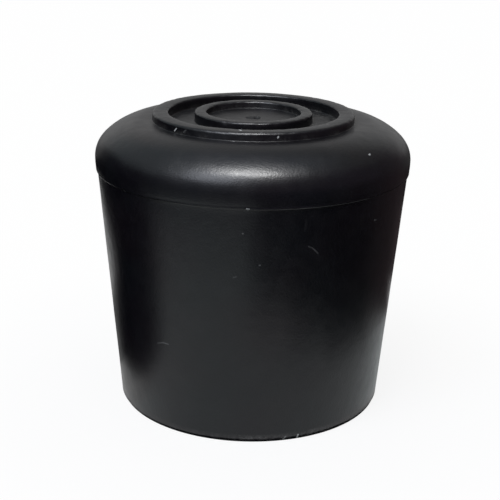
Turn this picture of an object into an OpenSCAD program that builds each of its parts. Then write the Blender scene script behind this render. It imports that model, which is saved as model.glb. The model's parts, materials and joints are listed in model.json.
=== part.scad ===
// Push-on rubber ferrule for a round chair leg. It stands on its open mouth, with the sole up.
// One half of its section is drawn as an outline, as [radius, height], and turned about Z.
// The rim of the mouth lies in the plane Z = 0, centred on the origin.

/* [Leg socket] */
// Diameter of the socket, a press fit on the leg's tube
socket_d = 25; // [19:0.1:40]
// Depth of the socket, from the rim to its flat end
socket_depth = 27; // [12:0.5:60]
// Chamfer at the socket's mouth that leads the leg in
lead_in = 0.5; // [0.2:0.1:1]
// Radius in the corner at the socket's end
socket_end_r = 1; // [0.5:0.1:4]

/* [Wall] */
// Thickness of the wall at the rim
rim_wall = 3.4; // [2:0.1:5]
// Thickness of the wall at the parting line
parting_wall = 5.85; // [5.2:0.05:8]
// Thickness of the end, from the socket to the top of the tread rings
end_wall = 8; // [6.8:0.1:14]
// Radius on the outer edge of the rim
rim_edge_r = 0.35; // [0.1:0.05:0.8]

/* [Parting line] */
// How far the moulding flash stands out of the wall
flash_out = 0.12; // [0.05:0.01:0.2]
// Height of the moulding flash
flash_h = 0.2; // [0.1:0.02:0.4]

/* [Cap] */
// Height of the cap, from the parting line to the top of the tread rings
cap_h = 6.6; // [5.2:0.1:9]
// How far the cap's widest line stands out past the wall below the parting line
cap_overhang = 0.25; // [0.1:0.05:1.5]
// Height of the cap's widest line above the parting line
widest_rise = 1.4; // [0.5:0.1:2.2]
// Radius of the curve up the cap's side
side_r = 3.2; // [2:0.1:4.5]
// Slope at which the side curve runs into the crown's curve, in degrees
crown_slope = 45; // [35:1:60]

/* [Tread] */
// Width of the shoulder, from the cap's widest line in to the outer ring
shoulder_w = 6.7; // [4.5:0.1:8.5]
// Width of the outer ring
outer_ring_w = 1.95; // [1.2:0.05:3]
// Width of the groove between the rings
groove_w = 3; // [1.5:0.1:4.5]
// Width of the inner ring
inner_ring_w = 1.45; // [1:0.05:3]
// How far the rings stand above the shoulder
ring_rise = 0.95; // [0.6:0.05:2]
// Depth of the groove between the rings
groove_depth = 1.2; // [0.5:0.1:2.5]
// Depth of the round recess inside the inner ring
recess_depth = 0.8; // [0.2:0.1:1.5]
// Radius on the top edges of the rings
ring_edge_r = 0.25; // [0.1:0.05:0.4]
// Radius at the foot of the outer ring, on the shoulder
ring_foot_r = 0.15; // [0.05:0.05:0.4]
// Diameter of the gate mark in the middle of the recess
gate_d = 1.6; // [0.8:0.1:3]
// Depth of the gate mark
gate_depth = 0.2; // [0.1:0.05:0.4]

/* [Hidden] */
$fn = 96;

// Steps in each rounded stretch of the outline: the cap's two curves, and the small edges
curve_steps = 12;
edge_steps = 5;

// Heights above the rim
sole_z = socket_depth + end_wall;
parting_z = sole_z - cap_h;
widest_z = parting_z + widest_rise;
shoulder_z = sole_z - ring_rise;
groove_z = sole_z - groove_depth;
recess_z = sole_z - recess_depth;
gate_z = recess_z - gate_depth;

// Radii, from the socket out to the cap's widest line, and back in across the tread
socket_r = socket_d / 2;
rim_r = socket_r + rim_wall;
wall_top_r = socket_r + parting_wall;
cap_r = wall_top_r + cap_overhang;
outer_ring_r = cap_r - shoulder_w;
groove_r = outer_ring_r - outer_ring_w;
inner_ring_r = groove_r - groove_w;
recess_r = inner_ring_r - inner_ring_w;

// The wall's side leans outwards, from the rim up to the parting line
side_lean = atan2(wall_top_r - rim_r, parting_z);
function wall_r(z) = rim_r + z * tan(side_lean);

// The crown's curve runs on from the side curve until it is level with the shoulder, or meets
// the foot of the outer ring on the way
meet_angle = 90 - crown_slope;
side_x = cap_r - side_r;
crown_r = (shoulder_z - widest_z - side_r * sin(meet_angle)) / (1 - sin(meet_angle));
crown_x = side_x - (crown_r - side_r) * cos(meet_angle);
crown_z = shoulder_z - crown_r;
foot_x = outer_ring_r + ring_foot_r;
crown_end = acos(max(0, (foot_x - crown_x) / crown_r));
foot_z = crown_z + crown_r * sin(crown_end);

// Points along an arc, from one direction to another
function arc(x, z, r, from, to, steps) = [
    for (i = [0:steps]) let (a = from + (to - from) * i / steps) [x + r * cos(a), z + r * sin(a)]
];

// The socket, from its end on the axis down to the mouth, with its lead-in chamfer
function socket_line() = concat(
    [[0, socket_depth]],
    arc(socket_r - socket_end_r, socket_depth - socket_end_r, socket_end_r, 90, 0, edge_steps),
    [[socket_r, lead_in], [socket_r + lead_in, 0]]
);

// The rim's outer edge, and the leaning wall up to the flash
function wall_line() = let (
    edge_x = rim_r - rim_edge_r * (1 - sin(side_lean)) / cos(side_lean),
    flash_z = parting_z - flash_h / 2
) concat(
    arc(edge_x, rim_edge_r, rim_edge_r, -90, -side_lean, edge_steps),
    [[wall_r(flash_z), flash_z]]
);

// The flash, a thin ridge where the two halves of the mould met
function flash_line() = [
    for (z = [parting_z - flash_h / 2, parting_z + flash_h / 2]) [wall_top_r + flash_out, z]
];

// The cap's side curve and crown's curve, from the flash up to the shoulder
function cap_line() = let (
    start_angle = asin((parting_z + flash_h / 2 - widest_z) / side_r)
) concat(
    arc(side_x, widest_z, side_r, start_angle, meet_angle, curve_steps),
    arc(crown_x, crown_z, crown_r, meet_angle, crown_end, curve_steps)
);

// A tread ring's top, with a rounded edge on each side, from its outside in to its inside
function ring_line(outer_r, width) = let (edge_z = sole_z - ring_edge_r) concat(
    arc(outer_r - ring_edge_r, edge_z, ring_edge_r, 0, 90, edge_steps),
    arc(outer_r - width + ring_edge_r, edge_z, ring_edge_r, 90, 180, edge_steps)
);

// The tread, from the foot of the outer ring in to the gate mark on the axis
function tread_line() = concat(
    arc(foot_x, foot_z + ring_foot_r, ring_foot_r, 270, 180, edge_steps),
    ring_line(outer_ring_r, outer_ring_w),
    [[groove_r, groove_z], [inner_ring_r, groove_z]],
    ring_line(inner_ring_r, inner_ring_w),
    [[recess_r, recess_z], [gate_d / 2, recess_z], [gate_d / 2, gate_z], [0, gate_z]]
);

module ferrule() {
    color("#1d1e20") rotate_extrude() polygon(
        concat(socket_line(), wall_line(), flash_line(), cap_line(), tread_line())
    );
}

ferrule();
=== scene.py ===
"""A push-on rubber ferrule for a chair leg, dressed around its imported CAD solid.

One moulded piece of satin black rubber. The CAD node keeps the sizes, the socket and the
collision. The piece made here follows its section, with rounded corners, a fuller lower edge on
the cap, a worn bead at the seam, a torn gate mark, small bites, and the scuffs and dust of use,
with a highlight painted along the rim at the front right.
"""
import json
import math

import bpy
import numpy as np
from mathutils import Matrix, Vector, noise

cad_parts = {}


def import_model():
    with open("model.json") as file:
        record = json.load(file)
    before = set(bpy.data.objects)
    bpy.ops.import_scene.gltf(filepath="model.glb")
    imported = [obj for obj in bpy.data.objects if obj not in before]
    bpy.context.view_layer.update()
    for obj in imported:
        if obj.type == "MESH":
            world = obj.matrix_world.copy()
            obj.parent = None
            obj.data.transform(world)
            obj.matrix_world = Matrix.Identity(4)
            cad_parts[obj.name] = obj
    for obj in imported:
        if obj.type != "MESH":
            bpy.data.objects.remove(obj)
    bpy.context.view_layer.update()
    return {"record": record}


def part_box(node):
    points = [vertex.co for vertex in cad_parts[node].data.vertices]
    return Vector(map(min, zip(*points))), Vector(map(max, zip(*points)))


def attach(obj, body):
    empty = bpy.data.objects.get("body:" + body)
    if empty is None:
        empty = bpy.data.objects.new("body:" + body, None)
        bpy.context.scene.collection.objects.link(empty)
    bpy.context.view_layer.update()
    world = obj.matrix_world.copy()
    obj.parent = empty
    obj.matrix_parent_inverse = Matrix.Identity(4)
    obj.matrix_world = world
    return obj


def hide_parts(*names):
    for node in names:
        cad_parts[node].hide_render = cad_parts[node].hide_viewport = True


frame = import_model()

# Lengths are in millimetres and angles in degrees. MM turns a length into Blender's metres.
MM = 0.001

# ---------------------------------------------------------------- sizes
# From the frame, but for the radius at the socket's end, which is the part's
LOW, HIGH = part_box("ferrule")
MOUNTS = {mount["name"]: mount for mount in frame["record"]["mounts"]}
SOCKET = MOUNTS["leg_socket"]

sole_z = HIGH.z / MM
cap_r = min(HIGH.x, HIGH.y, -LOW.x, -LOW.y) / MM
socket_r = SOCKET["dims"]["r_mm"]
lead_in = SOCKET["pos_m"][2] / MM
socket_end_r = 1.0
socket_depth = lead_in + SOCKET["dims"]["length_mm"] + socket_end_r

# The rest of the section, as in the part's source
rim_wall = 3.4
parting_wall = 5.85
cap_h = 6.6
widest_rise = 1.4
side_r = 3.2
crown_slope = 45.0
shoulder_w = 6.7
outer_ring_w = 1.95
groove_w = 3.0
inner_ring_w = 1.45
ring_rise = 0.95
groove_depth = 1.2
recess_depth = 0.8
ring_edge_r = 0.25
ring_foot_r = 0.15
gate_d = 1.6
gate_depth = 0.2

rim_r = socket_r + rim_wall
wall_top_r = socket_r + parting_wall
parting_z = sole_z - cap_h
widest_z = parting_z + widest_rise
shoulder_z = sole_z - ring_rise
groove_z = sole_z - groove_depth
recess_z = sole_z - recess_depth
outer_ring_r = cap_r - shoulder_w
groove_r = outer_ring_r - outer_ring_w
inner_ring_r = groove_r - groove_w
recess_r = inner_ring_r - inner_ring_w
lean = math.atan2(wall_top_r - rim_r, parting_z)

# The cap's lower edge, where the photo shows it up to 0.2 mm fuller than the solid's: a slight
# curve down from the widest line to a lip, and a bead where the mould's two halves met
under_r = 10.0
lip_in = 0.09
lip_r = cap_r - lip_in
bead_out = 0.2
bead_h = 0.16
bead_corner_r = 0.035
seam_corner_r = 0.11

# Radii on corners that the solid keeps sharp, and on two that it rounds less or more: the outer
# ring's outer edge, and its foot
mouth_corner_r = 0.15
groove_corner_r = 0.08
outer_edge_r = 0.36
foot_corner_r = 0.03

# The rim's outer edge is cut back by a small bevel. It is drawn up towards the front right, at
# points near its top, below one height and no further in from the rim's outside than this.
bevel_h = 0.32
bevel_w = 0.2
bevel_corner_r = 0.07
bevel_lift = 0.2
bevel_lift_reach = 0.6
bevel_lift_top = 3
bevel_lift_in = 0.06
bevel_unevenness, bevel_lump_size = 0.4, 3.0

# How far the surface is pressed in, and how far apart the dips are. They fade in over a height
# above the rim.
swell_depth, swell_size = 0.05, 6.0
ripple_depth, ripple_size = 0.015, 1.5
recess_ripple = 0.05
edge_bite, edge_bite_size, edge_bite_reach = 0.11, 0.7, 0.3
dips_fade_h = 1.5

# The bead is worn away but for a stretch around one azimuth at the front right
bead_wear, bead_wear_reach = 0.13, 0.14
bead_azimuth, bead_half_angle = 16, 38
bead_unevenness, bead_lump_size = 0.3, 2.6

# The gate mark is a ragged disc, with two torn pits: each one's middle along X, half sizes along
# X and Y, and depth
gate_surround = 0.6
gate_step = 0.1
gate_disc_share = 0.2
gate_disc_fade = 0.3
gate_ragged, gate_lump_size = 0.15, 0.5
gate_pits = [(-0.35, 0.5, 0.4, 0.2), (0.4, 0.34, 0.6, 0.75)]
torn_depth = 0.08

# Scuffs on the rings' edges and tops, and a lighter line along the rim: scuffs all round, and a
# painted highlight that grows much stronger towards the front right
edge_scuff, edge_scuff_reach = 0.25, 0.16
top_scuff = 0.3
rim_scuff_and_highlight, rim_highlight_right = 0.25, 1.1
rim_scuff_and_highlight_up, rim_scuff_and_highlight_reach = 0.03, 0.13
scuff_and_highlight_size = 1.5

# Dust in the tread's corners and in the groove, where there is more at the front right
corner_dust, corner_dust_reach = 0.3, 0.35
groove_dust, groove_dust_right = 0.22, 0.6
groove_dust_h = 0.05
dust_size = 1.3
dust_contrast, dust_cut = 2.2, 0.4

# Heights that differ by less than this are the same, and the azimuth of the front right
same_z = 0.01
front_right = 60

# Steps in the cap's curves and around the axis, and the longest step along the section
under_steps, side_steps, crown_steps = 6, 28, 30
segments = 360
longest_step = 0.7


# ---------------------------------------------------------------- the section
def arc(x, z, r, start, end, steps):
    """Points along an arc in the section, from one direction to another."""
    angles = np.radians(np.linspace(start, end, steps + 1))
    return [(x + r * math.cos(a), z + r * math.sin(a)) for a in angles]


def fillet(before, corner, after, r, steps=4):
    """Points that round a corner of the section with radius r."""
    p, a, b = (np.array(point, float) for point in (corner, before, after))
    to_a = (a - p) / np.linalg.norm(a - p)
    to_b = (b - p) / np.linalg.norm(b - p)
    half = math.acos(np.clip(to_a @ to_b, -1, 1)) / 2
    reach = r / math.tan(half)
    middle = (to_a + to_b) / np.linalg.norm(to_a + to_b)
    centre = p + middle * r / math.sin(half)
    start, end = p + to_a * reach - centre, p + to_b * reach - centre
    turn = math.atan2(start[0] * end[1] - start[1] * end[0], start @ end)
    first = math.atan2(start[1], start[0])
    return [
        (centre[0] + r * math.cos(first + turn * i / steps),
         centre[1] + r * math.sin(first + turn * i / steps))
        for i in range(steps + 1)
    ]


def rounded(corners):
    """A line through corners given as (radius, height, corner radius)."""
    line = []
    for i, (x, z, r) in enumerate(corners):
        if r:
            line += fillet(corners[i - 1][:2], (x, z), corners[i + 1][:2], r)
        else:
            line.append((x, z))
    return line


# The lines below are the section's stretches. A first or last corner that only gives its
# neighbour's direction is cut off.
def mouth_line():
    """From the socket's end on the axis, down the socket, round the rim and up the wall."""
    return rounded([
        (0, socket_depth, 0),
        (socket_r, socket_depth, socket_end_r),
        (socket_r, lead_in, mouth_corner_r),
        (socket_r + lead_in, 0, mouth_corner_r),
        (rim_r - bevel_w, 0, bevel_corner_r),
        (rim_r + bevel_h * math.tan(lean), bevel_h, bevel_corner_r),
        (wall_top_r, parting_z, 0),
    ])[:-1]


def seam_line():
    """From the top of the wall out under the cap's lip, and up over the bead."""
    low_z, high_z = parting_z - bead_h / 2, parting_z + bead_h / 2
    return rounded([
        (rim_r, 0, 0),
        (rim_r + low_z * math.tan(lean), low_z, seam_corner_r),
        (lip_r, low_z, bead_corner_r),
        (wall_top_r + bead_out, parting_z, bead_corner_r),
        (lip_r, high_z, 0),
    ])[1:-1]


def cap_line():
    """The slight curve from the bead up to the widest line, the side's curve, and the crown's
    curve up to the shoulder."""
    meet = 90 - crown_slope
    sin_meet, cos_meet = math.sin(math.radians(meet)), math.cos(math.radians(meet))
    side_x = cap_r - side_r
    crown_r = (shoulder_z - widest_z - side_r * sin_meet) / (1 - sin_meet)
    crown_x = side_x - (crown_r - side_r) * cos_meet
    bead_top_z = parting_z + bead_h / 2
    drop = math.degrees(math.asin((bead_top_z - widest_z) / under_r))
    under = arc(cap_r - under_r, widest_z, under_r, drop, 0, under_steps)
    side = arc(side_x, widest_z, side_r, 0, meet, side_steps)
    crown = arc(crown_x, shoulder_z - crown_r, crown_r, meet, 90, crown_steps)
    return under + side[1:] + crown[1:]


def tread_line():
    """From the shoulder in over both rings to the recess's middle."""
    return rounded([
        (cap_r, shoulder_z, 0),
        (outer_ring_r, shoulder_z, foot_corner_r),
        (outer_ring_r, sole_z, outer_edge_r),
        (groove_r, sole_z, ring_edge_r),
        (groove_r, groove_z, groove_corner_r),
        (inner_ring_r, groove_z, groove_corner_r),
        (inner_ring_r, sole_z, ring_edge_r),
        (recess_r, sole_z, ring_edge_r),
        (recess_r, recess_z, foot_corner_r),
        (gate_d / 2 + gate_surround, recess_z, 0),
        (0, recess_z, 0),
    ])[1:]


def resample(line, longest):
    """The line with points added so that no step is longer than this. Steps are short where
    the gate mark is, at the recess's middle."""
    out = [line[0]]
    for a, b in zip(line, line[1:]):
        in_gate = a[1] == b[1] == recess_z and a[0] < gate_d
        steps = max(1, math.ceil(math.dist(a, b) / (gate_step if in_gate else longest)))
        for i in range(1, steps + 1):
            t = i / steps
            out.append((a[0] + (b[0] - a[0]) * t, a[1] + (b[1] - a[1]) * t))
    return out


# ---------------------------------------------------------------- the piece
def lathe(line):
    """Points, faces, and each point's section place and outward direction, for the section
    turned about Z. The line's two ends lie on the axis."""
    ring = np.array(line[1:-1])
    along = np.gradient(ring, axis=0)
    along /= np.linalg.norm(along, axis=1)[:, None]
    azimuths = np.arange(segments) * 2 * math.pi / segments
    around = np.stack([np.cos(azimuths), np.sin(azimuths), 0 * azimuths], axis=-1)
    up = np.array([0, 0, 1])

    def turned(r, z):
        grid = r[:, None, None] * around[None] + z[:, None, None] * up
        return grid.reshape(-1, 3)

    poles = [[0, 0, line[0][1]], [0, 0, line[-1][1]]]
    points = np.vstack([turned(ring[:, 0], ring[:, 1]), poles])
    outward = np.vstack([turned(along[:, 1], -along[:, 0]), [[0, 0, -1], [0, 0, 1]]])
    section = np.vstack([np.repeat(ring, segments, axis=0), [line[0], line[-1]]])
    first_pole, last_pole = len(points) - 2, len(points) - 1
    faces = []
    last_row = (len(ring) - 1) * segments
    for i in range(segments):
        j = (i + 1) % segments
        faces.append((first_pole, i, j))
        faces.append((last_pole, last_row + j, last_row + i))
        for row in range(len(ring) - 1):
            a, b = row * segments, (row + 1) * segments
            faces.append((a + i, b + i, b + j, a + j))
    return points, faces, section, outward


# How far each seed moves the noise along X, Y and Z
seed_steps = (7.3, 3.1, 5.7)


def lumps(points, size, seed):
    """A smooth random value from 0 to 1 at each point, for lumps of about this size."""
    shift = Vector([seed * step for step in seed_steps])
    return np.array([0.5 + 0.5 * noise.noise(Vector(p) / size + shift) for p in points])


def close_to(section, r, z, reach):
    """From 0 to 1, how close each point is to the circle at this radius and height."""
    away = np.hypot(section[:, 0] - r, section[:, 1] - z)
    return np.exp(-((away / reach) ** 2))


ring_edges = [outer_ring_r, groove_r, inner_ring_r, recess_r]


def edge_share(section, reach):
    """How close each point is to an edge of the rings."""
    return np.max([close_to(section, r, sole_z, reach) for r in ring_edges], axis=0)


def outside(section):
    """1 on the faces that show, falling to 0 at the rim's foot, and 0 in the socket."""
    r, z = section.T
    shown = (r > rim_r - bevel_w) | (z > socket_depth + socket_end_r)
    return shown * np.clip(z / dips_fade_h, 0, 1)


def gate_depths(points):
    """How deep the gate mark is at each point."""
    x, y, z = points.T
    near = np.abs(z - recess_z) < same_z
    ragged = gate_ragged * lumps(points, gate_lump_size, seed=9)
    r = np.hypot(x, y) + ragged
    disc = np.clip((gate_d / 2 + gate_ragged - r) / gate_disc_fade, 0, 1)
    depth = gate_depth * gate_disc_share * disc
    for pit_x, half_x, half_y, pit_depth in gate_pits:
        away = ((x - pit_x) / half_x) ** 2 + (y / half_y) ** 2 + ragged
        depth += pit_depth * np.exp(-away ** 2)
    return near * depth


def azimuth_of(points):
    """Each point's azimuth, from -180 to 180. Azimuth 0 is the front, and 90 the right."""
    return np.degrees(np.arctan2(points[:, 0], -points[:, 1]))


def to_right(points):
    """1 at the ferrule's front right, falling to 0 at its back left."""
    return 0.5 + 0.5 * np.cos(np.radians(azimuth_of(points) - front_right))


def bead_worn(points):
    """From 0 to 1, how far the bead is worn away at each point."""
    stands = np.exp(-(((azimuth_of(points) - bead_azimuth) / bead_half_angle) ** 2))
    return 1 - stands * (1 - bead_unevenness * lumps(points, bead_lump_size, seed=4))


def dips(points, section):
    """How far each point is pressed in from the section."""
    depth = swell_depth * lumps(points, swell_size, seed=1)
    in_recess = section[:, 0] < recess_r - ring_foot_r
    ripple = np.where(in_recess, recess_ripple, ripple_depth)
    depth += ripple * lumps(points, ripple_size, seed=2)
    edges = edge_share(section, edge_bite_reach)
    depth += edge_bite * edges * lumps(points, edge_bite_size, seed=3) ** 2
    bead = close_to(section, wall_top_r + bead_out, parting_z - bead_h / 2, bead_wear_reach)
    depth += bead_wear * bead * bead_worn(points)
    return outside(section) * (depth + gate_depths(points))


def bevel_shift(points, section):
    """How far up the rim's bevel is drawn at each point."""
    r, z = section.T
    near = np.exp(-(((z - bevel_h) / bevel_lift_reach) ** 2))
    near = near * (r > rim_r - bevel_lift_in) * (z < bevel_lift_top)
    uneven = 1 - bevel_unevenness + bevel_unevenness * lumps(points, bevel_lump_size, seed=7)
    return bevel_lift * near * to_right(points) * uneven


def scuffs_and_highlight(points, section):
    """From 0 to 1, how scuffed each point is, with a painted highlight along the rim that grows
    towards the front right.
    """
    edges = edge_scuff * edge_share(section, edge_scuff_reach)
    tops = (section[:, 1] > sole_z - same_z) * top_scuff
    bevel_top_r = rim_r + bevel_h * math.tan(lean)
    rim = close_to(section, bevel_top_r, bevel_h + rim_scuff_and_highlight_up, rim_scuff_and_highlight_reach)
    # The rim's line: scuffs all round, and a painted highlight that grows towards the front right
    rim = rim * (rim_scuff_and_highlight + rim_highlight_right * to_right(points) ** 3)
    return np.maximum(np.maximum(edges, tops), rim) * lumps(points, scuff_and_highlight_size, seed=5)


def dustiness(points, section):
    """From 0 to 1, how dusty each point is."""
    r, z = section.T
    corners = [(outer_ring_r, shoulder_z), (groove_r, groove_z), (inner_ring_r, groove_z),
               (recess_r, recess_z)]
    near = [close_to(section, *corner, corner_dust_reach) for corner in corners]
    in_groove = (z < groove_z + groove_dust_h) & (r < groove_r) & (r > inner_ring_r)
    in_groove = in_groove * (groove_dust + groove_dust_right * to_right(points) ** 3)
    dusty = np.maximum(corner_dust * np.max(near, axis=0), in_groove)
    return dusty * np.clip(dust_contrast * lumps(points, dust_size, seed=6) - dust_cut, 0, 1)


def ferrule_skin():
    """The piece, with what its material needs to know about each point."""
    line = resample(mouth_line() + seam_line() + cap_line() + tread_line(), longest_step)
    points, faces, section, outward = lathe(line)
    moved = points - outward * dips(points, section)[:, None]
    moved[:, 2] += bevel_shift(points, section)
    mesh = bpy.data.meshes.new("ferrule_skin")
    mesh.from_pydata((moved * MM).tolist(), [], faces)
    mesh.polygons.foreach_set("use_smooth", [True] * len(mesh.polygons))
    looks = {
        # Scuffs, and the painted highlight along the rim
        "wear": scuffs_and_highlight(points, section),
        "dust": dustiness(points, section),
        "torn": np.clip(gate_depths(points) / torn_depth, 0, 1),
    }
    for name, values in looks.items():
        attribute = mesh.attributes.new(name, "FLOAT", "POINT")
        attribute.data.foreach_set("value", values.astype(np.float32))
    mesh.update()
    piece = bpy.data.objects.new("ferrule_skin", mesh)
    bpy.context.scene.collection.objects.link(piece)
    return piece


# ---------------------------------------------------------------- material
class Nodes:
    """Adds nodes to a material or world, and links them by socket name."""

    def __init__(self, owner):
        owner.use_nodes = True
        self.tree = owner.node_tree
        self.tree.nodes.clear()

    def add(self, kind, settings=None, **inputs):
        node = self.tree.nodes.new("ShaderNode" + kind)
        for name, value in (settings or {}).items():
            setattr(node, name, value)
        for name, value in inputs.items():
            self.put(node, name.replace("_", " "), value)
        return node

    def put(self, node, socket, value):
        """Sets or links an input, named as its socket is or by its number, such as #0."""
        target = node.inputs[int(socket[1:])] if socket[1:].isdigit() else node.inputs[socket]
        if isinstance(value, bpy.types.NodeSocket):
            self.tree.links.new(value, target)
        else:
            target.default_value = value


def toward(azimuth, elevation=0.0):
    """A direction from the ferrule. Azimuth 0 is the front, and 90 the right."""
    a, e = math.radians(azimuth), math.radians(elevation)
    return Vector((math.sin(a) * math.cos(e), -math.cos(a) * math.cos(e), math.sin(e)))


def on_wall(azimuth, z):
    """The place on the wall at this azimuth and height, as (azimuth, radius, height)."""
    return azimuth, rim_r + z * math.tan(lean), z


# Dust and lint that lie on the surface: a start and an end, each as (azimuth, radius, height),
# then a half-width in mm and how light it is. Azimuth 0 is the front, and 90 the right.
specks = [
    ((-1.7, 18.4, 28.42), (-0.9, 18.4, 28.4), 0.12, 0.7),
    (on_wall(-3.0, 25.6), on_wall(-2.8, 25.6), 0.11, 0.08),
    (on_wall(2.9, 22.0), on_wall(3.1, 22.0), 0.12, 0.09),
    (on_wall(-6.0, 20.5), on_wall(-5.0, 20.6), 0.12, 0.03),
    ((48.2, 16.93, 32.69), (48.9, 16.9, 32.7), 0.15, 0.4),
    (on_wall(48.2, 25.5), on_wall(49.0, 25.5), 0.18, 0.035),
    ((-50.1, 18.4, 28.3), (-49.6, 18.4, 28.3), 0.14, 0.06),
    (on_wall(19.9, 23.9), on_wall(21.3, 23.7), 0.12, 0.03),
    (on_wall(21.3, 23.7), on_wall(23.6, 23.0), 0.12, 0.037),
    (on_wall(18.4, 26.9), on_wall(18.2, 25.9), 0.2, 0.005),
    (on_wall(-38.2, 10.9), on_wall(-35.5, 11.2), 0.11, 0.04),
    (on_wall(-35.5, 11.2), on_wall(-32.8, 11.2), 0.11, 0.07),
    ((-47.5, 11.9, 34.2), (-45.8, 11.9, 34.55), 0.1, 0.75),
    ((-40.3, 11.9, 34.3), (-38.6, 11.9, 34.6), 0.12, 0.06),
    ((13.0, 11.9, 34.45), (13.3, 11.9, 34.55), 0.13, 0.6),
    ((-10.6, 12.1, 34.1), (-9.8, 12.1, 34.1), 0.14, 0.6),
    ((-8.2, 10.3, 34.97), (-7.2, 10.6, 34.97), 0.16, 0.8),
    ((4.0, 11.4, 34.95), (4.6, 11.4, 34.95), 0.1, 0.25),
    ((-26.9, 12.2, 34.1), (-26.0, 12.2, 34.1), 0.18, 0.08),
    (on_wall(15.5, 0.5), (14.6, 15.8, 0.15), 0.13, 0.2),
    (on_wall(21.0, 0.6), (20.8, 15.8, 0.05), 0.14, 0.35),
]

# The shares of their half-width in which a speck and a scattered dot are at their lightest
speck_core, dot_core = 0.2, 0.4


def placed(azimuth, r, z):
    """The point at this azimuth, radius and height."""
    return toward(azimuth) * r + Vector((0, 0, z))


class Rubber(Nodes):
    """The rubber's nodes. Lengths in them are in millimetres."""

    def __init__(self, material):
        super().__init__(material)
        place = self.add("TexCoord")
        scaled = self.add("VectorMath", {"operation": "SCALE"}, Scale=1 / MM)
        self.put(scaled, "#0", place.outputs["Object"])
        self.where = scaled.outputs[0]

    def clouds(self, size, detail=2.0, rough=0.5):
        """Noise from 0 to 1, with lumps of about this size."""
        texture = self.add(
            "TexNoise", Vector=self.where, Scale=1.0 / size, Detail=detail, Roughness=rough
        )
        return texture.outputs[0]

    def spread(self, value, low, high, to_low=0.0, to_high=1.0):
        """The value taken from one range to another, and held inside it."""
        node = self.add("MapRange")
        names = ("Value", "From Min", "From Max", "To Min", "To Max")
        for name, setting in zip(names, (value, low, high, to_low, to_high)):
            self.put(node, name, setting)
        return node.outputs[0]

    def maths(self, operation, first, second):
        node = self.add("Math", {"operation": operation})
        self.put(node, "#0", first)
        self.put(node, "#1", second)
        return node.outputs[0]

    def vector(self, operation, first, second, output=0):
        node = self.add("VectorMath", {"operation": operation})
        self.put(node, "#0", first)
        self.put(node, "#1", second)
        return node.outputs[output]

    def blend(self, share, first, second):
        """A colour between two, by a share from 0 to 1."""
        node = self.add("Mix", {"data_type": "RGBA"})
        for socket, value in (("#0", share), ("#6", first), ("#7", second)):
            self.put(node, socket, value)
        return node.outputs[2]

    def attribute(self, name):
        return self.add("Attribute", {"attribute_name": name}).outputs["Fac"]

    def speck(self, start, end, half_width, light):
        """The light that one speck adds where it lies."""
        a, b = placed(*start), placed(*end)
        from_a = self.vector("SUBTRACT", self.where, tuple(a))
        run = b - a
        along = self.vector("DOT_PRODUCT", from_a, tuple(run / run.length_squared), "Value")
        part = self.spread(along, 0.0, 1.0)
        step = self.add("VectorMath", {"operation": "SCALE"})
        self.put(step, "#0", tuple(run))
        self.put(step, "Scale", part)
        from_line = self.vector("SUBTRACT", from_a, step.outputs[0])
        away = self.add("VectorMath", {"operation": "LENGTH"})
        self.put(away, "#0", from_line)
        core = speck_core * half_width
        return self.spread(away.outputs["Value"], half_width, core, 0.0, light)

    def scattered(self, cell, half_width, share, light):
        """Small specks all over: one in this share of the cells."""
        cells = self.add("TexVoronoi", Vector=self.where, Scale=1.0 / cell)
        chosen = self.add("SeparateColor")
        self.put(chosen, "#0", cells.outputs["Color"])
        picked = self.maths("LESS_THAN", chosen.outputs[0], share)
        reach = half_width / cell
        dot = self.spread(cells.outputs["Distance"], reach, dot_core * reach, 0.0, light)
        return self.maths("MULTIPLY", picked, dot)


# Colours, and how far scuffs, the rim's painted highlight and dust cover the rubber
black_cool = (0.0012, 0.0017, 0.003, 1)
black_warm = (0.0024, 0.0015, 0.003, 1)
bloom_grey = (0.03, 0.03, 0.031, 1)
scuff_and_highlight_grey = (0.2, 0.2, 0.19, 1)
dust_brown = (0.17, 0.165, 0.145, 1)
lint_white = (0.85, 0.87, 0.85, 1)
scuff_and_highlight_share, dust_share = 0.5, 0.42

# Satin rubber: its gloss, how rough it is at its smoothest and dullest, what dust adds to that,
# and the heights of its two bumps in metres
gloss = 0.375
rough_low, rough_high, dull_adds = 0.32, 0.38, 0.5
ripple_bump, grain_bump = 0.000018, 0.000012


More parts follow.
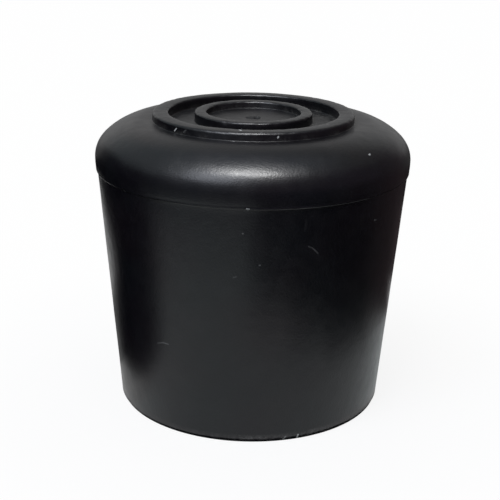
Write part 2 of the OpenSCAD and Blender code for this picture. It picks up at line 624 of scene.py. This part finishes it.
def rubber():
    """Satin black rubber with scuffs, dust and lint."""
    material = bpy.data.materials.new("black_rubber")
    nodes = Rubber(material)

    # Black rubber with a faint cool and warm drift, and a thin bloom in cloudy patches
    drift = nodes.spread(nodes.clouds(9.0), 0.35, 0.65)
    black = nodes.blend(drift, black_cool, black_warm)
    cloudy = nodes.clouds(3.0, detail=4.0, rough=0.6)
    bloom = nodes.spread(cloudy, 0.45, 0.75, to_low=0.0, to_high=0.06)
    colour = nodes.blend(bloom, black, bloom_grey)

    # Scuffed edges and ring tops, the rim's line of scuffs and painted highlight, and dust in the
    #     corners of the tread
    grain = nodes.clouds(0.35)
    wear = nodes.maths("MULTIPLY", nodes.attribute("wear"), nodes.spread(grain, 0.35, 0.7))
    colour = nodes.blend(nodes.maths("MULTIPLY", wear, scuff_and_highlight_share), colour, scuff_and_highlight_grey)
    dust = nodes.maths("MULTIPLY", nodes.attribute("dust"), nodes.spread(grain, 0.3, 0.7))
    colour = nodes.blend(nodes.maths("MULTIPLY", dust, dust_share), colour, dust_brown)

    # Specks of dust and lint
    lint = nodes.scattered(cell=2.6, half_width=0.09, share=0.1, light=0.12)
    fine_lint = nodes.scattered(cell=1.1, half_width=0.05, share=0.06, light=0.05)
    lint = nodes.maths("MAXIMUM", lint, fine_lint)
    for start, end, half_width, light in specks:
        lint = nodes.maths("MAXIMUM", lint, nodes.speck(start, end, half_width, light))
    colour = nodes.blend(lint, colour, lint_white)

    # Satin, a little uneven, and dull where it is dusty, scuffed, torn or carries the rim's
    # painted
    #     highlight
    uneven = nodes.clouds(1.4, detail=4.0, rough=0.6)
    satin = nodes.spread(uneven, 0.3, 0.7, to_low=rough_low, to_high=rough_high)
    dull = nodes.maths("MAXIMUM", nodes.maths("MAXIMUM", wear, dust), lint)
    dull = nodes.maths("MAXIMUM", dull, nodes.attribute("torn"))
    roughness = nodes.maths("ADD", satin, nodes.maths("MULTIPLY", dull, dull_adds))

    # A pebbly moulded skin: fine grain on soft ripples
    ripples = nodes.add("Bump", Height=nodes.clouds(1.2), Strength=1.0, Distance=ripple_bump)
    pebbles = nodes.clouds(0.2, detail=1.0)
    fine = nodes.add("Bump", Height=pebbles, Strength=1.0, Distance=grain_bump)
    nodes.put(fine, "Normal", ripples.outputs[0])

    shader = nodes.add("BsdfPrincipled")
    shader.inputs["Specular IOR Level"].default_value = gloss
    nodes.put(shader, "Base Color", colour)
    nodes.put(shader, "Roughness", roughness)
    nodes.put(shader, "Normal", fine.outputs[0])
    output = nodes.add("OutputMaterial")
    nodes.tree.links.new(shader.outputs[0], output.inputs[0])
    return material


# ---------------------------------------------------------------- stage
def background_rays(nodes):
    """1 for the rays that show the background: the camera's, reflected and refracted ones."""
    path = nodes.add("LightPath")
    shiny = nodes.add("Math", {"operation": "MAXIMUM"})
    nodes.put(shiny, "#0", path.outputs["Is Glossy Ray"])
    nodes.put(shiny, "#1", path.outputs["Is Transmission Ray"])
    shown = nodes.add("Math", {"operation": "MAXIMUM"})
    nodes.put(shown, "#0", path.outputs["Is Camera Ray"])
    nodes.put(shown, "#1", shiny.outputs[0])
    return shown.outputs[0]


def world():
    """White for the camera and in reflections, and a weak fill light."""
    owner = bpy.data.worlds.new("studio")
    owner.cycles.sampling_method = "NONE"
    bpy.context.scene.world = owner
    nodes = Nodes(owner)
    fill = nodes.add("Background", Color=(1, 1, 1, 1), Strength=0.5)
    white = nodes.add("Background", Color=(1, 1, 1, 1), Strength=1.0)
    mix = nodes.add("MixShader")
    nodes.put(mix, "#0", background_rays(nodes))
    nodes.put(mix, "#1", fill.outputs[0])
    nodes.put(mix, "#2", white.outputs[0])
    output = nodes.add("OutputWorld")
    nodes.tree.links.new(mix.outputs[0], output.inputs[0])


def stage_piece(name, points, faces, material):
    """A piece of the studio, from points in millimetres."""
    mesh = bpy.data.meshes.new(name)
    mesh.from_pydata([tuple(c * MM for c in point) for point in points], [], faces)
    mesh.materials.append(material)
    piece = bpy.data.objects.new(name, mesh)
    bpy.context.scene.collection.objects.link(piece)
    return piece


# The floor lies just under the rim. Its share of plain white grows between two distances from the
# ferrule's axis.
floor_half, floor_z = 3000, -0.02
fade_start, fade_end = 18, 50
white_near, white_far = 0.87, 0.975


def floor():
    """A pale floor that keeps the ferrule's shadow and turns white away from it."""
    material = bpy.data.materials.new("pale_floor")
    nodes = Nodes(material)
    diffuse = nodes.add("BsdfDiffuse", Color=(0.9, 0.9, 0.9, 1))
    white = nodes.add("Emission", Color=(1, 1, 1, 1), Strength=1.0)
    place = nodes.add("TexCoord")
    away = nodes.add("VectorMath", {"operation": "LENGTH"})
    nodes.put(away, "#0", place.outputs["Object"])
    fade = nodes.add(
        "MapRange", From_Min=fade_start * MM, From_Max=fade_end * MM,
        To_Min=white_near, To_Max=white_far,
    )
    nodes.put(fade, "Value", away.outputs["Value"])
    share = nodes.add("Math", {"operation": "MULTIPLY"})
    nodes.put(share, "#0", background_rays(nodes))
    nodes.put(share, "#1", fade.outputs[0])
    mix = nodes.add("MixShader")
    nodes.put(mix, "#0", share.outputs[0])
    nodes.put(mix, "#1", diffuse.outputs[0])
    nodes.put(mix, "#2", white.outputs[0])
    output = nodes.add("OutputMaterial")
    nodes.tree.links.new(mix.outputs[0], output.inputs[0])
    corners = [(-1, -1), (1, -1), (1, 1), (-1, 1)]
    points = [(x * floor_half, y * floor_half, floor_z) for x, y in corners]
    stage_piece("floor", points, [(0, 1, 2, 3)], material)


plain = (1, 1, 1)
flag_step = 10


def card(name, points, faces, strength, tint=plain):
    """A card that only reflections show."""
    material = bpy.data.materials.new(name)
    material.cycles.emission_sampling = "NONE"
    nodes = Nodes(material)
    glow = nodes.add("Emission", Color=(*tint, 1), Strength=strength)
    output = nodes.add("OutputMaterial")
    nodes.tree.links.new(glow.outputs[0], output.inputs[0])
    piece = stage_piece(name, points, faces, material)
    piece.visible_camera = False
    piece.visible_diffuse = False
    piece.visible_transmission = False
    piece.visible_shadow = False


def flag(name, azimuths, near, far, strength, tint=plain):
    """A card that runs round the ferrule between two azimuths, and from its near edge to its
    far edge, each given as (distance, height)."""
    start, end = azimuths
    steps = max(1, math.ceil((end - start) / flag_step))
    points = []
    for i in range(steps + 1):
        way = toward(start + (end - start) * i / steps)
        points += [(way.x * r, way.y * r, z) for r, z in (near, far)]
    faces = [(2 * i, 2 * i + 1, 2 * i + 3, 2 * i + 2) for i in range(steps)]
    card(name, points, faces, strength, tint)


def lamp(name, azimuth, elevation, distance, half_size, radiance, tint=plain):
    """A window-like lamp which faces the ferrule's middle, half as wide and high as this."""
    away = toward(azimuth, elevation)
    width, height = (2 * half * MM for half in half_size)
    light = bpy.data.lights.new(name, "AREA")
    light.shape = "RECTANGLE"
    light.size = width
    light.size_y = height
    light.energy = radiance * math.pi * width * height
    light.color = tint
    holder = bpy.data.objects.new(name, light)
    holder.location = (Vector((0, 0, sole_z / 2)) + away * distance) * MM
    holder.rotation_mode = "QUATERNION"
    holder.rotation_quaternion = away.to_track_quat("Z", "Y")
    bpy.context.scene.collection.objects.link(holder)
    return holder


mats_from = 16.6
mat_z = 0.3
board_z = 0.35
wall_r = 2500
ceiling_z, ceiling_split = 4000, 1400
# The painted contact shadow under the rim: its height, and how far it reaches past the rim
contact_z, contact_out = -0.01, 0.3
near_tint = (0.95, 1, 1.01)
blue_tint = (1, 1, 1.6)
cool_tint = (0.9, 1, 1.2)


def rise(elevation):
    """The height on the walls that is seen at this elevation from the ferrule."""
    return sole_z + wall_r * math.tan(math.radians(elevation))


# What reflections show on the floor, by sector. A sector is its two azimuths and its rings, from
# the ferrule outwards. A ring is its two distances, how light it is, and its tint. The grey rings
# that start at mats_from, next to the ferrule, are a painted soft shadow round its foot.
mats = [
    (-180, -135, [(98, 135, 0.0, plain), (135, wall_r, 0.2, plain)]),
    (-68, 0, [(72, wall_r, 0.13, (0.9, 1, 1.15))]),
    (-115, -60, [(mats_from, 25, 0.75, plain)]),
    (-60, 0, [(mats_from, 33, 0.84, near_tint), (33, 72, 0.88, (0.93, 1, 1))]),
    (0, 25, [
        (mats_from, 33, 0.84, near_tint), (43, 90, 0.0, plain),
        (90, wall_r, 0.06, blue_tint),
    ]),
    (25, 50, [
        (mats_from, 33, 0.84, near_tint), (36, 90, 0.0, plain),
        (90, wall_r, 0.06, blue_tint),
    ]),
    (50, 90, [
        (mats_from, 31, 0.84, near_tint), (31, 90, 0.0, plain),
        (90, wall_r, 0.06, (1.3, 1, 1.2)),
    ]),
    (90, 130, [
        (mats_from, 33, 0.84, near_tint), (34, 90, 0.05, (1.3, 1, 1.05)),
        (90, wall_r, 0.06, (1.5, 1, 1.2)),
    ]),
    (130, 150, [
        (mats_from, 33, 0.84, near_tint), (46, 90, 0.08, (1.3, 1, 1.05)),
        (90, 140, 0.03, (1.25, 1, 1.05)), (140, wall_r, 0.1, plain),
    ]),
    (150, 180, [(85, 140, 0.0, plain), (140, wall_r, 0.1, plain)]),
]

# A dark board on the floor at the left, and a grey one beside it, as corners seen from above
left_board = [
    (-20.4, -5), (-21.6, 3), (-30, 15), (-43, 26), (-48, 36), (-51, 50), (-55, 95), (-75, 120),
    (-1768, 1768), (-2500, 0), (-2318, -937), (-74, -30), (-28, -17), (-21.5, -11),
]
left_shade = [(-15, 4), (-15, 24), (-33, 27), (-43, 26), (-30, 15), (-21.6, 3)]

# The room around it: its azimuths, its elevations as seen from the ferrule, how light it is, and
# its tint
walls = [
    (-180, -143, -2, 10, 0.55, plain),
    (-143, -65, -2, 20, 0.0, plain),
    (-150, -65, 20, 58, 0.42, (0.85, 1, 1.04)),
    (-65, 0, -2, 35, 0.28, (0.94, 1, 1.15)),
    (0, 100, -2, 58, 0.13, (1.3, 1, 1.3)),
    (100, 145, -2, 36, 0.09, (1.25, 1, 1.1)),
    (145, 180, -2, 10, 0.6, plain),
    (145, 170, 10, 36, 0.5, plain),
    (100, 170, 36, 58, 0.25, (1, 1, 0.94)),
    (170, 190, 10, 21, 0.4, plain),
    (170, 190, 21, 58, 0.4, plain),
    (-170, -143, 10, 20, 0.65, plain),
    (-170, -150, 20, 58, 0.5, plain),
]

# The ceiling: its azimuths, its distances, and how light it is
ceiling = [
    ("ceiling_middle", (-180, 180), (0, ceiling_split), 0.62),
    ("ceiling_left", (-180, 20), (ceiling_split, wall_r), 0.45),
    ("ceiling_right", (20, 180), (ceiling_split, wall_r), 0.31),
]


def flags():
    """Light, grey and dark cards around the ferrule, as in a room with one window. The grey rings
    next to its foot and the black card under the rim are painted shadow in reflections.
    """
    for start, end, rings in mats:
        for near, far, strength, tint in rings:
            name = f"mat_{start}_{near}"
            flag(name, (start, end), (near, mat_z), (far, mat_z), strength, tint)
    for start, end, low, high, strength, tint in walls:
        name = f"wall_{start}_{low}"
        flag(name, (start, end), (wall_r, rise(low)), (wall_r, rise(high)), strength, tint)
    boards = (("left_board", left_board, 0.0), ("left_shade", left_shade, 0.3))
    for name, corners, strength in boards:
        points = [(x, y, board_z) for x, y in corners]
        card(name, points, [tuple(range(len(points)))], strength)
    for name, azimuths, (near, far), strength in ceiling:
        flag(name, azimuths, (near, ceiling_z), (far, ceiling_z), strength, cool_tint)
    # A black card under the rim, which only reflections show: a painted contact shadow
    under_rim = (socket_r, contact_z), (rim_r + contact_out, contact_z)
    flag("mat_contact", (-180, 180), *under_rim, 0.0)


# The camera looks from this elevation and distance at a point on the axis, at height aim_z. It is
# then turned right and up by small angles, and rolled about its own line of sight.
camera_elevation = 18.79
camera_distance = 140.7
aim_z = 17.0
turn_right = 0.061175
turn_up = -0.296424
camera_roll = 0.97
sensor_width = 36
lens_length = 82.9512


def swung(first, second, angle):
    """Two directions at right angles, turned in their plane by this angle, first to second."""
    sin_a, cos_a = math.sin(math.radians(angle)), math.cos(math.radians(angle))
    return first * cos_a + second * sin_a, second * cos_a - first * sin_a


def camera():
    """The camera, from close by and a little above, as the photo was taken."""
    elevation = math.radians(camera_elevation)
    sin_e, cos_e = math.sin(elevation), math.cos(elevation)
    right = Vector((1, 0, 0))
    up = Vector((0, sin_e, cos_e))
    ahead = Vector((0, cos_e, -sin_e))
    right, ahead = swung(right, ahead, turn_right)
    up, ahead = swung(up, ahead, turn_up)
    right, up = swung(right, up, camera_roll)
    data = bpy.data.cameras.new("camera")
    data.sensor_width = sensor_width
    data.lens = lens_length
    data.clip_start = 1 * MM
    data.clip_end = 10
    view = bpy.data.objects.new("camera", data)
    away = Vector((0, -camera_distance * cos_e, aim_z + camera_distance * sin_e))
    turn = Matrix((right, up, -ahead)).transposed()
    view.matrix_world = Matrix.Translation(away * MM) @ turn.to_4x4()
    bpy.context.scene.collection.objects.link(view)
    bpy.context.scene.camera = view


camera()
world()
floor()
flags()
lamp(
    "softbox", azimuth=-35, elevation=50, distance=2000, half_size=(600, 680), radiance=5.0,
    tint=(0.94, 1, 1.14),
)
gleam = lamp(
    "gleam", azimuth=-5.5, elevation=70.9, distance=2000, half_size=(400, 50), radiance=215,
)
gleam.visible_diffuse = False
skin = ferrule_skin()
skin.data.materials.append(rubber())
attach(skin, "root")
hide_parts("ferrule")

view_settings = bpy.context.scene.view_settings
view_settings.view_transform = "Standard"
